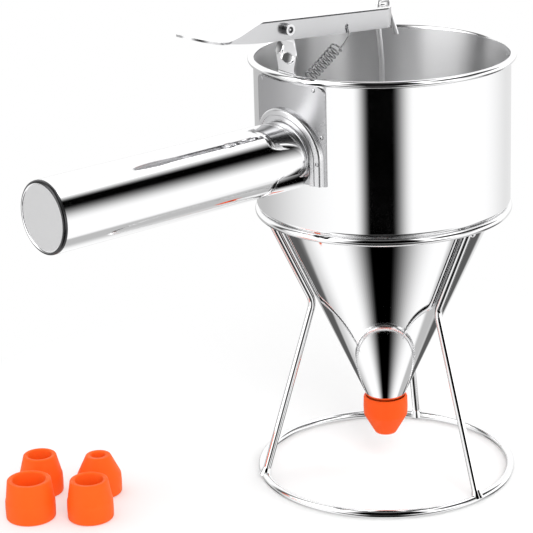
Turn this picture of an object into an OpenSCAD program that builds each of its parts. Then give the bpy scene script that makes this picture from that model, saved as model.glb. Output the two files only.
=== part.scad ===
// Batter dispenser: a hand-held funnel with a pull valve, on a wire stand.
// Origin on the table at the funnel's axis, +Z up, the handle towards -X.

/* [Cup] */
// Outside radius of the cup's wall
cup_r = 50.4; // [46:0.1:58]
// Thickness of the cup's and cone's sheet
sheet = 0.75; // [0.6:0.05:1]
// Height of the cup's shoulder above the table
shoulder_z = 115; // [110:0.5:125]
// Height of the cup, from its shoulder to the top of its lip
cup_h = 60.5; // [54:0.5:75]
// Radius of the rolled lip
lip_r = 1.35; // [1.1:0.05:1.6]
// Bend radius between wall and shoulder
shoulder_bend = 1.5; // [1.2:0.1:2]
// Width of the shoulder, from the wall to the cone
shoulder_w = 4.6; // [4:0.1:6]

/* [Cone and outlet] */
// Height of the cone
cone_h = 88; // [80:0.5:92]
// Outside radius of the outlet's spout
spout_r = 5.6; // [5:0.1:6.5]
// Length of the spout below the cone
spout_len = 5.5; // [4.5:0.1:6.5]
// Radius of the hole in the valve's seat
seat_hole_r = 2.9; // [2.4:0.1:3.2]
// Thickness of the seat's ring at its hole
seat_t = 0.6; // [0.5:0.1:0.8]

/* [Silicone tips] */
// Height of a tip
tip_h = 16.4; // [15.5:0.1:17.5]
// Radius of the fitted tip at its band
tip_r = 9.1; // [8.8:0.1:10]
// Radius of the fitted tip at its nose
nose_r = 4.5; // [4:0.1:5.5]
// Radius of the fitted tip's outlet
outlet_r = 2.85; // [2:0.05:3.4]
// Length of a tip's outlet, from its nose to its socket
outlet_len = 6.1; // [5.2:0.1:6.8]
// Height of the straight band at a tip's wide end
band_h = 4.8; // [4:0.1:6]
// Clearance of a tip's socket round the spout
tip_gap = 0.3; // [0.2:0.05:0.5]
// Least thickness of a tip's wall beside its mouth
tip_wall = 0.1; // [0.05:0.05:0.3]
// Band radii of the four spare tips
spare_r = [9, 9.1, 10, 9.25]; // [8:12]
// Nose radii of the four spare tips
spare_nose_r = [6.7, 5.15, 8.7, 7.6]; // [4:10]
// Outlet radii of the four spare tips
spare_outlet_r = [4.9, 2.85, 6.6, 5.6]; // [2:7]
// Distance between neighbouring spare tips
spare_pitch = 24; // [22:1:34]
// Place of the spare tips' group from the stand's axis
spare_place = [-119, 62]; // [-140:80]
// Turn of the spare tips' square, in degrees
spare_turn = -45; // [-90:5:90]

/* [Handle] */
// Height of the handle's axis above the cup's shoulder
handle_rise = 28.8; // [24:0.1:36]
// Reach of the handle, from the cup's axis to its end
handle_reach = 163; // [120:1:190]
// Outside radius of the handle's tube
tube_r = 13.4; // [11:0.1:14]
// Wall of the handle's tube
tube_wall = 1; // [0.8:0.1:1.6]
// Thickness of the end cap's disc
cap_t = 1.5; // [1.2:0.1:2.5]
// Radius of the end cap's edge
cap_edge = 1; // [0.6:0.1:1.1]
// Radius of the recess in the end cap
cap_face_r = 11.9; // [9:0.1:12]
// Depth of the recess in the end cap
cap_recess = 0.3; // [0.2:0.1:0.5]
// Length of the end cap's spigot in the tube
spigot_len = 4; // [3:0.5:8]
// Clearance between spigot and tube
spigot_gap = 0.1; // [0.05:0.05:0.3]

/* [Handle bracket] */
// Thickness of the curved saddle plate
plate_t = 0.8; // [0.6:0.1:1.2]
// Half the width of the saddle plate
plate_half = 18.8; // [18.4:0.1:24]
// Height of the plate above the handle's axis
plate_high = 28.4; // [24:0.1:28.6]
// Depth of the plate below the handle's axis
plate_low = 9.7; // [8:0.1:12]
// Corner radius of the plate
plate_corner = 3; // [1:0.1:5]
// Thickness of the arch round the handle's root
arch_t = 2; // [1.2:0.1:3]
// Width of the arch's band
arch_band = 4.9; // [4:0.1:5.2]
// Depth of the arch's feet below the handle's axis
arch_low = 9.4; // [6:0.1:9.6]
// Width of the pressed line along the arch
line_w = 0.5; // [0.3:0.1:0.8]
// Depth of the pressed line
line_d = 0.4; // [0.2:0.1:0.6]
// Radius of a spot weld
weld_r = 0.8; // [0.5:0.1:0.9]
// Height of a spot weld
weld_h = 0.25; // [0.15:0.05:0.5]

/* [Lever] */
// Distance of the pivot outside the cup's wall
pivot_out = 3.6; // [3.2:0.1:5]
// Height of the pivot above the lip
pivot_rise = 18.2; // [16:0.1:24]
// Radius of the pivot's pin
pin_r = 2.1; // [1.8:0.1:2.2]
// Length of pin that stands out on each side of the lever
pin_out = 2.5; // [2:0.1:6]
// Radius of the hollow in the pin's end
pin_dimple_r = 1.2; // [0.8:0.1:1.4]
// Depth of the hollow in the pin's end
pin_dimple_d = 1.5; // [0.5:0.1:3]
// Running clearance of the lever on its pin
run_gap = 0.05; // [0.03:0.01:0.1]
// Outside width of the lever's channel
lever_w = 12; // [11:0.1:15]
// Thickness of the lever's sheet
lever_t = 0.8; // [0.6:0.05:0.9]
// Height of the lever's channel
lever_h = 8; // [7:0.1:9]
// Height of the channel's top above the pivot
lever_over = 3.8; // [3.7:0.1:4.5]
// Fall of the lever towards the rod, in degrees
lever_tilt = 3.9; // [2:0.1:5]
// Bend radius along the channel's top
lever_bend = 1.2; // [0.8:0.1:2]
// Distance of the dish's start from the pivot
dish_start = 8; // [6:0.1:10]
// Length of the dish down to the thumb tab
dish_len = 20; // [16:0.1:24]
// Depth of the dish below the channel's top
dish_d = 6; // [5:0.1:6.5]
// Length of the thumb tab past the dish
tab_len = 16.5; // [12:0.1:24]
// Rise of the thumb tab along its length
tab_rise = 3; // [1:0.1:5]
// Half the width of the thumb tab
tab_half = 9; // [7:0.1:12]
// Distance from the pivot to the spring's hole
hole_s = 30.4; // [24:0.1:36]
// Depth of the spring's hole below the pivot
hole_t = 1.55; // [0.5:0.05:2.5]
// Radius of the spring's hole
hole_r = 0.8; // [0.7:0.05:1]
// Clearance of the rod in the lever's slot
slot_gap = 0.3; // [0.3:0.05:0.45]
// Extra length of the slot, for the lever's swing
slot_extra = 1.6; // [1.5:0.1:2]

/* [Lever bracket] */
// Thickness of the bracket's strap
strap_t = 0.7; // [0.5:0.05:0.75]
// Width of the strap on the cup's wall
strap_w = 11; // [8:0.1:12]
// Depth of the strap's foot below the lip
strap_deep = 22; // [18:0.1:30]
// Depth of the strap's bend below the pivot
strap_bend = 6; // [5.6:0.1:7]
// Gap between the strap's eye and the lever's walls
eye_gap = 0.4; // [0.3:0.05:0.8]
// Angle through which the eye wraps the pin
eye_wrap = 290; // [240:1:300]
// Radius of the strap's spot welds
strap_weld_r = 1.5; // [1:0.1:2.2]

/* [Return spring] */
// Outside radius of the spring's coil
coil_r = 2.5; // [2:0.1:2.6]
// Radius of the spring's wire
spring_wire_r = 0.3; // [0.2:0.05:0.35]
// Number of the spring's coils
coil_n = 9; // [6:1:20]
// Pitch of the spring's coils
coil_pitch = 1.9; // [1.1:0.05:2]
// Height of the coil's foot above the anchor ring's centre
coil_start = 4.9; // [4.6:0.1:6]
// Depth of the spring's anchor below the lip
anchor_deep = 4.5; // [4:0.1:18]
// Angle between the coil and the line from its anchor to the hook's hole
coil_sag = 5.3; // [0:0.1:8]
// Radius of the anchor's ring
anchor_r = 1.5; // [1.3:0.05:1.8]
// Radius of the anchor's wire
anchor_wire_r = 0.5; // [0.4:0.05:0.5]
// Gap between the spring's hook and the lever's wall
hook_gap = 0.3; // [0.2:0.05:0.5]

/* [Pull rod] */
// Radius of the pull rod's wire
rod_r = 1; // [0.8:0.05:1.1]
// Lean of the rod towards the pivot at the lever
rod_lean = 1.6; // [0:0.1:2]
// Height over which the rod leans
lean_h = 14; // [8:0.5:18]
// Depth of the lean's lower end below the lip
lean_deep = 3.5; // [0:0.5:10]
// Gap between the rod's crown and the lever's top
crown_gap = 0.6; // [0.5:0.05:0.8]
// Inner clearance of the rod's crook from the lever's end
crook_gap = 0.6; // [0.4:0.1:1]
// Length of the rod's tail
tail_len = 14.5; // [8:0.1:18]
// Spread of the rod's tail
tail_spread = 4.2; // [0:0.1:6]
// Bend radius of the rod
rod_bend = 1.5; // [1.3:0.1:1.8]
// Radius of the valve's plug
plug_r = 4.3; // [3.8:0.1:4.4]
// Height of the plug's straight part
plug_band = 1.6; // [1:0.1:3]
// Height of the plug's upper taper
plug_taper = 4; // [2:0.1:8]
// Clearance of the closed valve
valve_gap = 0.05; // [0.03:0.01:0.1]

/* [Stand] */
// Radius of the rings' wire
ring_wire_r = 1.6; // [1.3:0.05:2]
// Radius of the legs' wire
leg_wire_r = 1.55; // [1.2:0.05:1.9]
// Distance of the top ring's centre line inside the cup's wall
top_ring_in = 0.9; // [0.4:0.1:1.4]
// Radius of the base ring's centre line
base_ring_r = 51.4; // [45:0.1:70]
// Gap between top ring and shoulder
seat_gap = 0.3; // [0.2:0.05:0.5]
// Gap between legs and cone
leg_gap = 0.35; // [0.3:0.05:0.6]
// Height of the legs' waist
waist_z = 75; // [55:0.5:85]
// Bend radius at the waist
waist_bend = 8; // [4:0.5:14]
// Depth of the legs' upper ends below the top ring's centre line
leg_drop = 0.6; // [0:0.1:2]
// Direction of the first leg, in degrees
leg_angle = 31; // [0:1:119]
// Width of a weld's fillet at a leg's foot
fillet = 0.75; // [0.4:0.05:1]

/* [Hidden] */
$fn = 96;
eps = 0.01;
seam = 0.02;
far = 400;

// Cup and cone
lip_top = shoulder_z + cup_h;
cup_in_r = cup_r - sheet;
cone_top_r = cup_r - shoulder_w;
cone_z = shoulder_z - cone_h;
cone_slope = (cone_top_r - spout_r) / cone_h;
cone_angle = atan(cone_slope);
cone_t = sheet / cos(cone_angle);
spout_z = cone_z - spout_len;
spout_in_r = spout_r - cone_t;

// Tips
socket_r = spout_r + tip_gap;
tip_z = spout_z - tip_gap - outlet_len;
socket_h = cone_z - tip_z;

// Handle
handle_z = shoulder_z + handle_rise;
plate_r = cup_r + plate_t;
arch_r = tube_r + arch_band;

// Lever, in a frame at the pivot that falls with the lever
pivot_x = -(cup_r + pivot_out);
pivot_z = lip_top + pivot_rise;
dish_end = dish_start + dish_len;
tab_end = dish_end + tab_len;
rod_s = (-pivot_x - rod_lean) / cos(lever_tilt);
slot_r = rod_r + slot_gap;
nose_s = rod_s + rod_r + slot_gap + slot_extra + 1.6;
lever_in_w = lever_w - 2 * lever_t;
web_z = pivot_z + lever_over / cos(lever_tilt) - rod_s * sin(lever_tilt);
lever_end_x = pivot_x + nose_s * cos(lever_tilt) + lever_over * sin(lever_tilt);

// Bracket and spring
eye_w = lever_in_w - 2 * eye_gap;
strap_top = pivot_z - strap_bend;
anchor_x = -(cup_in_r - anchor_r - anchor_wire_r * 0.6);
anchor_z = lip_top - anchor_deep;
spring_y = -(lever_w / 2 + hook_gap + spring_wire_r);
hole_x = pivot_x + hole_s * cos(lever_tilt) - hole_t * sin(lever_tilt);
hole_z = pivot_z - hole_s * sin(lever_tilt) - hole_t * cos(lever_tilt);
spring_len = norm([hole_x - anchor_x, hole_z - anchor_z]) - (hole_r - spring_wire_r) / 2;
spring_lean = atan2(hole_x - anchor_x, hole_z - anchor_z) + coil_sag;
hook_end = spring_len * [-sin(coil_sag), cos(coil_sag)];
hook_elbow = [0.4, hook_end[1] - 1.4];
hook_to = unit(hook_end - hook_elbow);
coil_mean = coil_r - spring_wire_r;
coil_end = coil_start + coil_n * coil_pitch;
loop_r = anchor_wire_r + spring_wire_r + 0.6;

// Rod and valve: the seat and the plug are cut at 45 degrees
seat_top = spout_z + seat_t + spout_in_r - seat_hole_r;
plug_z = spout_z + seat_t + valve_gap / sin(45);
plug_cone_z = plug_z + plug_r - seat_hole_r;
plug_top = plug_cone_z + plug_band + plug_taper;
lean_z = lip_top - lean_deep;
crown_z = web_z + crown_gap + rod_r;
crook_x = lever_end_x + crook_gap + rod_r;

// Stand
top_ring_r = cup_r - top_ring_in;
top_ring_z = shoulder_z - seat_gap - ring_wire_r;
leg_off = (leg_wire_r + leg_gap) / cos(cone_angle);
leg_top_z = top_ring_z - leg_drop;

function cone_r(z) = spout_r + (z - cone_z) * cone_slope;
function unit(v) = v / norm(v);
function cross2(a, b) = a[0] * b[1] - a[1] * b[0];
function turn(a, b) = atan2(cross2(a, b), a * b);
function dir(p, i) = unit(p[i + 1] - p[i]);
function setback(p, i, b) = i == 0 || i == len(p) - 1 ? 0
    : b * tan(abs(turn(dir(p, i - 1), dir(p, i))) / 2);
function smooth(u) = u * u * (3 - 2 * u);

// Bent wire in the XZ plane through the corners p, with bends of radius b.
module bent_wire(p, r, b) {
    for (i = [0 : len(p) - 2]) {
        d = dir(p, i);
        from = p[i] + d * setback(p, i, b);
        length = norm(p[i + 1] - p[i]) - setback(p, i, b) - setback(p, i + 1, b);
        translate([from[0], 0, from[1]])
            rotate([0, atan2(d[0], d[1]), 0])
                cylinder(h = length, r = r);
    }
    if (len(p) > 2)
        for (i = [1 : len(p) - 2]) {
            d = dir(p, i - 1);
            t = turn(d, dir(p, i));
            side = t > 0 ? 1 : -1;
            n = side * [-d[1], d[0]];
            from = p[i] - d * setback(p, i, b);
            to = p[i] + dir(p, i) * setback(p, i, b);
            c = from + n * b;
            start = atan2(-n[1], -n[0]);
            translate([c[0], 0, c[1]])
                rotate([90, 0, 0])
                    rotate([0, 0, t > 0 ? start : start + t])
                        rotate_extrude(angle = abs(t))
                            translate([b, 0])
                                circle(r);
            for (q = [from, to])
                translate([q[0], 0, q[1]])
                    sphere(r + seam);
        }
}

// Ring between two radii and two heights.
module band(r1, r2, z1, z2) {
    translate([0, 0, z1])
        difference() {
            cylinder(h = z2 - z1, r = r2);
            translate([0, 0, -1])
                cylinder(h = z2 - z1 + 2, r = r1);
        }
}

// Round ring of wire about the Z axis.
module wire_ring(r, w, z) {
    translate([0, 0, z])
        rotate_extrude()
            translate([r, 0])
                circle(w);
}

// Extrudes an outline seen from -X along the handle's direction.
module to_handle(x1, x2) {
    translate([-x1, 0, handle_z])
        rotate([90, 0, -90])
            linear_extrude(x2 - x1)
                children();
}

// Cup: drawn wall, rolled lip and flat shoulder.
module cup_outline(r, z, b) {
    translate([0, z])
        square([r - b, far]);
    translate([0, z + b])
        square([r, far]);
    translate([r - b, z + b])
        circle(b);
}

module cup_shell() {
    color("silver")
        rotate_extrude() {
            intersection() {
                difference() {
                    cup_outline(cup_r, shoulder_z, shoulder_bend);
                    cup_outline(cup_in_r, shoulder_z + sheet, shoulder_bend - sheet);
                }
                translate([cone_top_r - cone_t, 0])
                    square([shoulder_w + cone_t + 1, lip_top - lip_r]);
            }
            translate([cup_in_r + lip_r, lip_top - lip_r])
                circle(lip_r);
        }
}

module cone_shell() {
    color("silver")
        rotate_extrude()
            polygon([[spout_in_r, cone_z], [spout_r, cone_z], [cone_top_r, shoulder_z],
                [cone_top_r - cone_t, shoulder_z]]);
}

module outlet_spout() {
    color("silver")
        rotate_extrude()
            polygon([[seat_hole_r, spout_z], [spout_r, spout_z], [spout_r, cone_z],
                [spout_in_r, cone_z], [spout_in_r, seat_top],
                [seat_hole_r, spout_z + seat_t]]);
}

// Silicone tip, nose down: band radius f, nose radius n, outlet radius b.
module tip(f, n, b) {
    low = tip_h - 1.7 * band_h;
    s = max(socket_r, b);
    mouth = min(s + (tip_h - socket_h) * cone_slope, f - 0.8 - tip_wall);
    rotate_extrude()
        polygon([[b, 0], [n - 0.7, 0], [n - 0.2, 0.2], [n, 0.7], [f - 0.2, low],
            [f, tip_h - band_h], [f - 0.15, tip_h - 1.6], [f - 0.4, tip_h - 0.6],
            [f - 0.8, tip_h], [mouth, tip_h], [s, socket_h], [s, outlet_len],
            [b, outlet_len]]);
}

module silicone_tip() {
    color("orangered")
        translate([0, 0, tip_z])
            tip(tip_r, nose_r, outlet_r);
}

// The four spare tips stand on their wide ends, outlets up, in a square.
module spare_tip(i) {
    from_middle = spare_pitch * [i % 2 - 0.5, 0.5 - floor(i / 2)];
    place = spare_place + [from_middle * [cos(spare_turn), -sin(spare_turn)],
        from_middle * [sin(spare_turn), cos(spare_turn)]];
    color("orangered")
        translate([place[0], place[1], tip_h])
            mirror([0, 0, 1])
                tip(spare_r[i], spare_nose_r[i], spare_outlet_r[i]);
}

module spare_tip_1() {
    spare_tip(0);
}

module spare_tip_2() {
    spare_tip(1);
}

module spare_tip_3() {
    spare_tip(2);
}

module spare_tip_4() {
    spare_tip(3);
}

// Handle: a tube coped to the cup, closed by a cap.
module handle_tube() {
    color("silver")
        difference() {
            to_handle(0, handle_reach - cap_t)
                circle(tube_r);
            to_handle(-1, handle_reach)
                circle(tube_r - tube_wall);
            cylinder(h = far, r = cup_r);
            translate([0, 0, handle_z - plate_low])
                cylinder(h = far, r = plate_r);
        }
}

module handle_cap() {
    in_r = tube_r - tube_wall - spigot_gap;
    color("gainsboro")
        translate([-(handle_reach - cap_t), 0, handle_z])
            rotate([0, -90, 0])
                difference() {
                    rotate_extrude() {
                        square([tube_r - cap_edge, cap_t]);
                        square([tube_r, cap_t - cap_edge]);
                        translate([tube_r - cap_edge, cap_t - cap_edge])
                            intersection() {
                                circle(cap_edge);
                                square(cap_edge);
                            }
                        translate([in_r - tube_wall, -spigot_len])
                            square([tube_wall, spigot_len + eps]);
                    }
                    translate([0, 0, cap_t - cap_recess])
                        cylinder(h = 1, r = cap_face_r);
                }
}

// Arch bracket: a raised band over the handle's root, open at its foot.
module arch_outline(r, in_r) {
    difference() {
        union() {
            circle(r);
            translate([-r, -arch_low])
                square([2 * r, arch_low]);
        }
        circle(in_r);
        translate([-in_r, -far])
            square([2 * in_r, far]);
        translate([-far, -far - arch_low])
            square([2 * far, far]);
    }
}

module handle_arch() {
    line_r = tube_r + arch_band / 2;
    color("silver")
        difference() {
            intersection() {
                band(plate_r, plate_r + arch_t, handle_z - plate_half, handle_z + plate_half);
                to_handle(0, plate_r + arch_t + 1)
                    arch_outline(arch_r, tube_r);
            }
            intersection() {
                band(plate_r + arch_t - line_d, plate_r + arch_t + 1, handle_z - plate_half,
                    handle_z + plate_half);
                to_handle(0, plate_r + arch_t + 2)
                    arch_outline(line_r + line_w / 2, line_r - line_w / 2);
            }
        }
}

// Saddle plate: curved to the cup, with two rounded corners at its top.
module saddle_plate() {
    color("silver")
        intersection() {
            band(cup_r, plate_r, handle_z - far / 8, handle_z + far / 8);
            to_handle(0, plate_r + 1) {
                translate([-plate_half, -plate_low])
                    square([2 * plate_half, plate_low + plate_high - plate_corner]);
                translate([-plate_half + plate_corner, 0])
                    square([2 * (plate_half - plate_corner), plate_high]);
                for (s = [-1, 1])
                    translate([s * (plate_half - plate_corner), plate_high - plate_corner])
                        circle(plate_corner);
            }
        }
}

module saddle_welds() {
    side = plate_half - weld_r - 0.4;
    color("gray") {
        intersection() {
            band(plate_r, plate_r + weld_h, handle_z - far / 8, handle_z + far / 8);
            to_handle(0, plate_r + 1)
                for (s = [-1, 1]) {
                    translate([s * side, plate_high * 0.33])
                        circle(weld_r);
                    translate([s * (side - plate_corner), plate_high - weld_r - 0.5])
                        circle(weld_r);
                }
        }
        intersection() {
            band(plate_r + arch_t, plate_r + arch_t + weld_h, handle_z - far / 8, handle_z + far / 8);
            to_handle(0, plate_r + arch_t + 1)
                for (s = [-1, 1])
                    translate([s * (arch_r - weld_r - 0.35), -0.7])
                        circle(weld_r);
        }
    }
}

// Lever: top line of the web over its length s, from the pivot towards the rod.
function web_top(s) = s > -dish_start ? lever_over
    : s > -dish_end ? lever_over - dish_d * smooth((-dish_start - s) / dish_len)
    : lever_over - dish_d + tab_rise * pow((-dish_end - s) / tab_len, 1.4);
function wall_foot(s) = min(web_top(s) - lever_t,
    lever_over - lever_h + (lever_h - dish_d - lever_t) * pow(max(0, (-dish_start - s) / dish_len), 2));

module web_side(drop, from, to) {
    n = 36;
    s = [for (k = [0 : n]) from + (-dish_start - from) * k / n];
    polygon(concat([for (x = s) [x, web_top(x) - drop]], [[to, lever_over - drop]],
        [[to, lever_over - lever_h]],
        [for (k = [n : -1 : 0]) [s[k], drop == 0 ? wall_foot(s[k]) : wall_foot(s[k]) - lever_h]]));
}

module tab_side() {
    n = 24;
    s = [for (k = [0 : n]) -tab_end + (tab_end - dish_end + 2) * k / n];
    polygon(concat([for (x = s) [x, web_top(x)]],
        [for (k = [n : -1 : 0]) [s[k], web_top(s[k]) - lever_t]]));
}

module lever_plan(w) {
    translate([-tab_end, -w / 2])
        square([tab_end + nose_s - lever_w / 2, w]);
    translate([nose_s - lever_w / 2, 0])
        circle(w / 2);
}

module tab_plan() {
    translate([-tab_end + tab_half, 0])
        circle(tab_half);
    polygon([[-tab_end + tab_half, -tab_half], [-dish_end + 2, -lever_w / 2],
        [-dish_end + 2, lever_w / 2], [-tab_end + tab_half, tab_half]]);
}

module lever_cross() {
    h = lever_w / 2;
    b = lever_bend;
    translate([-h, -far])
        square([2 * h, far + lever_over - b]);
    translate([-h + b, -far])
        square([2 * (h - b), far + lever_over]);
    for (s = [-1, 1])
        translate([s * (h - b), lever_over - b])
            circle(b);
}

module lever_block() {
    difference() {
        intersection() {
            rotate([90, 0, 0])
                translate([0, 0, -lever_w])
                    linear_extrude(2 * lever_w)
                        web_side(0, -dish_end, nose_s);
            translate([0, 0, -far / 2])
                linear_extrude(far)
                    lever_plan(lever_w);
            translate([-tab_end - 1, 0, 0])
                rotate([90, 0, 90])
                    linear_extrude(tab_end + nose_s + 2)
                        lever_cross();
        }
        intersection() {
            rotate([90, 0, 0])
                translate([0, 0, -lever_w])
                    linear_extrude(2 * lever_w)
                        translate([0, -eps])
                            union() {
                                web_side(lever_t, -dish_end + 2, nose_s);
                                translate([-dish_end + 2, -lever_h - lever_over])
                                    square([nose_s + dish_end - 2, lever_h]);
                            }
            translate([0, 0, -far / 2])
                linear_extrude(far)
                    lever_plan(lever_in_w);
        }
    }
    intersection() {
        rotate([90, 0, 0])
            translate([0, 0, -far / 8])
                linear_extrude(far / 4)
                    tab_side();
        translate([0, 0, -far / 8])
            linear_extrude(far / 4)
                tab_plan();
    }
}

module lever() {
    color("silver")
        translate([pivot_x, 0, pivot_z])
            rotate([0, lever_tilt, 0])
                difference() {
                    lever_block();
                    rotate([90, 0, 0])
                        translate([0, 0, -lever_w])
                            cylinder(h = 2 * lever_w, r = pin_r + run_gap);
                    translate([hole_s, 0, -hole_t])
                        rotate([90, 0, 0])
                            cylinder(h = lever_w, r = hole_r);
                    for (s = [0, slot_extra])
                        translate([rod_s + s, 0, 0])
                            cylinder(h = far / 8, r = slot_r);
                    translate([rod_s, -slot_r, 0])
                        cube([slot_extra, 2 * slot_r, far / 8]);
                }
}

// Pivot pin: hollow at its ends, with fine grooves where it stands out.
module pivot_pin() {
    half = lever_w / 2 + pin_out;
    color("dimgray")
        translate([pivot_x, 0, pivot_z])
            rotate([90, 0, 0])
                difference() {
                    translate([0, 0, -half])
                        cylinder(h = 2 * half, r = pin_r);
                    for (s = [-1, 1]) {
                        translate([0, 0, s * half - pin_dimple_d])
                            cylinder(h = 2 * pin_dimple_d, r = pin_dimple_r);
                        for (k = [1 : 3])
                            translate([0, 0, s * (half - k * pin_out / 4) - 0.2])
                                band(pin_r - 0.2, pin_r + 1, 0, 0.4);
                    }
                }
}

// Lever bracket: strap on the cup's inner wall, cranked out to an eye round the pin.
module lever_bracket() {
    mid = pin_r + strap_t / 2;
    k = [-(cup_in_r - strap_t / 2), strap_top];
    to_pin = [pivot_x, pivot_z] - k;
    length = sqrt(to_pin * to_pin - mid * mid);
    aim = atan2(to_pin[1], to_pin[0]) - asin(mid / norm(to_pin));
    color("silver") {
        intersection() {
            band(cup_in_r - strap_t, cup_in_r, lip_top - strap_deep, strap_top + strap_t / 2);
            translate([-far, -strap_w / 2, 0])
                cube([far, strap_w, far]);
        }
        translate([k[0], 0, k[1]])
            rotate([0, 90 - aim, 0])
                translate([-strap_t / 2, -eye_w / 2, 0])
                    cube([strap_t, eye_w, length]);
        translate([pivot_x, 0, pivot_z])
            rotate([90, 0, 0])
                rotate([0, 0, aim - 90])
                    rotate_extrude(angle = eye_wrap)
                        translate([pin_r, -eye_w / 2])
                            square([strap_t, eye_w]);
    }
}

module bracket_welds() {
    color("gray")
        intersection() {
            band(cup_in_r - strap_t - weld_h, cup_in_r - strap_t, lip_top - strap_deep, lip_top);
            for (k = [0.3, 0.8])
                translate([0, 0, lip_top - k * strap_deep])
                    rotate([0, -90, 0])
                        cylinder(h = cup_r, r = strap_weld_r);
        }
}

// Spring: coils of half rings, flat at the back and rising in front, with a hook
// through the lever's near wall and a loop in the anchor's ring.
module return_spring() {
    $fn = 24;
    rise = atan(coil_pitch / (2 * coil_mean));
    color("dimgray")
        translate([anchor_x, spring_y, anchor_z])
            rotate([0, spring_lean, 0]) {
                for (i = [0 : coil_n - 1]) {
                    translate([0, 0, coil_start + i * coil_pitch])
                        rotate_extrude(angle = 180)
                            translate([coil_mean, 0])
                                circle(spring_wire_r);
                    translate([0, 0, coil_start + (i + 0.5) * coil_pitch])
                        rotate([0, -rise, 0])
                            rotate([0, 0, 180])
                                rotate_extrude(angle = 180)
                                    translate([coil_mean / cos(rise), 0])
                                        circle(spring_wire_r);
                }
                for (i = [0 : coil_n]) {
                    translate([coil_mean, 0, coil_start + i * coil_pitch])
                        sphere(spring_wire_r + seam / 2);
                    if (i < coil_n)
                        translate([-coil_mean, 0, coil_start + i * coil_pitch])
                            sphere(spring_wire_r + seam / 2);
                }
                bent_wire([[coil_mean, coil_start], [0, anchor_r + loop_r + 1]], spring_wire_r, 1);
                translate([0, 0, anchor_r + loop_r - anchor_wire_r - spring_wire_r - 0.1])
                    rotate([0, 90, 0])
                        rotate_extrude()
                            translate([loop_r, 0])
                                circle(spring_wire_r);
                bent_wire([[coil_mean, coil_end], [coil_mean - 0.6, coil_end + 2], hook_elbow,
                    hook_end - 1.6 * hook_to], spring_wire_r, 0.8);
                translate([hook_end[0], 0, hook_end[1]])
                    rotate([0, atan2(hook_to[0], hook_to[1]), 0]) {
                        translate([0, 0, -1.6])
                            sphere(spring_wire_r + seam / 2);
                        rotate([0, 0, 90])
                            bent_wire([[0, -1.6], [0, 0],
                                [hook_gap + spring_wire_r + lever_t + 0.9, 0]],
                                spring_wire_r, 0.5);
                    }
            }
}

module spring_eye() {
    color("silver")
        intersection() {
            translate([anchor_x, spring_y, anchor_z])
                rotate([90, 0, 0])
                    rotate_extrude()
                        translate([anchor_r, 0])
                            circle(anchor_wire_r);
            cylinder(h = far, r = cup_in_r);
        }
}

// Pull rod: straight down the axis, leaning at the lever and hooked over its end.
module pull_rod() {
    color("silver")
        bent_wire([[0, plug_top], [0, lean_z], [-rod_lean, lean_z + lean_h], [-rod_lean, crown_z],
            [crook_x - 1, crown_z], [crook_x, crown_z - tail_len * 0.4],
            [crook_x - 1 + tail_spread, crown_z - tail_len]], rod_r, rod_bend);
}

module valve_plug() {
    color("silver")
        rotate_extrude()
            polygon([[0, plug_z], [seat_hole_r, plug_z], [plug_r, plug_cone_z],
                [plug_r, plug_cone_z + plug_band], [rod_r + 0.6, plug_top], [0, plug_top]]);
}

// Stand: two rings, three waisted legs and their welds.
module top_ring() {
    color("silver")
        wire_ring(top_ring_r, ring_wire_r, top_ring_z);
}

module base_ring() {
    color("silver")
        wire_ring(base_ring_r, ring_wire_r, ring_wire_r);
}

module leg_wire() {
    bent_wire([[base_ring_r, ring_wire_r], [cone_r(waist_z) + leg_off, waist_z],
        [cone_r(leg_top_z) + leg_off, leg_top_z]], leg_wire_r, waist_bend);
}

module leg(i) {
    color("silver")
        difference() {
            rotate([0, 0, leg_angle + 120 * i])
                leg_wire();
            wire_ring(base_ring_r, ring_wire_r, ring_wire_r);
            wire_ring(top_ring_r, ring_wire_r, top_ring_z);
        }
}

module leg_1() {
    leg(0);
}

module leg_2() {
    leg(1);
}

module leg_3() {
    leg(2);
}

module stand_welds() {
    foot = [base_ring_r, ring_wire_r];
    up = unit([cone_r(waist_z) + leg_off, waist_z] - foot);
    color("gray")
        difference() {
            for (i = [0 : 2])
                rotate([0, 0, leg_angle + 120 * i]) {
                    translate([foot[0], 0, foot[1]])
                        rotate([0, atan2(up[0], up[1]), 0])
                            cylinder(h = 2 * ring_wire_r, r1 = leg_wire_r + 1.4 * fillet,
                                r2 = leg_wire_r + 0.1);
                    translate([top_ring_r - 0.7 * ring_wire_r, 0, top_ring_z - 1.2 * ring_wire_r])
                        sphere(ring_wire_r * fillet);
                }
            for (i = [0 : 2])
                rotate([0, 0, leg_angle + 120 * i])
                    leg_wire();
            wire_ring(base_ring_r, ring_wire_r, ring_wire_r);
            wire_ring(top_ring_r, ring_wire_r, top_ring_z);
        }
}

cup_shell();
cone_shell();
outlet_spout();
silicone_tip();
handle_tube();
handle_cap();
handle_arch();
saddle_plate();
saddle_welds();
lever();
pivot_pin();
lever_bracket();
bracket_welds();
return_spring();
spring_eye();
pull_rod();
valve_plug();
top_ring();
base_ring();
leg_1();
leg_2();
leg_3();
stand_welds();
spare_tip_1();
spare_tip_2();
spare_tip_3();
spare_tip_4();
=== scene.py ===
from math import asin, atan2, cos, pi, radians, sin, sqrt

import bpy
from mathutils import Matrix, Vector


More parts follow.
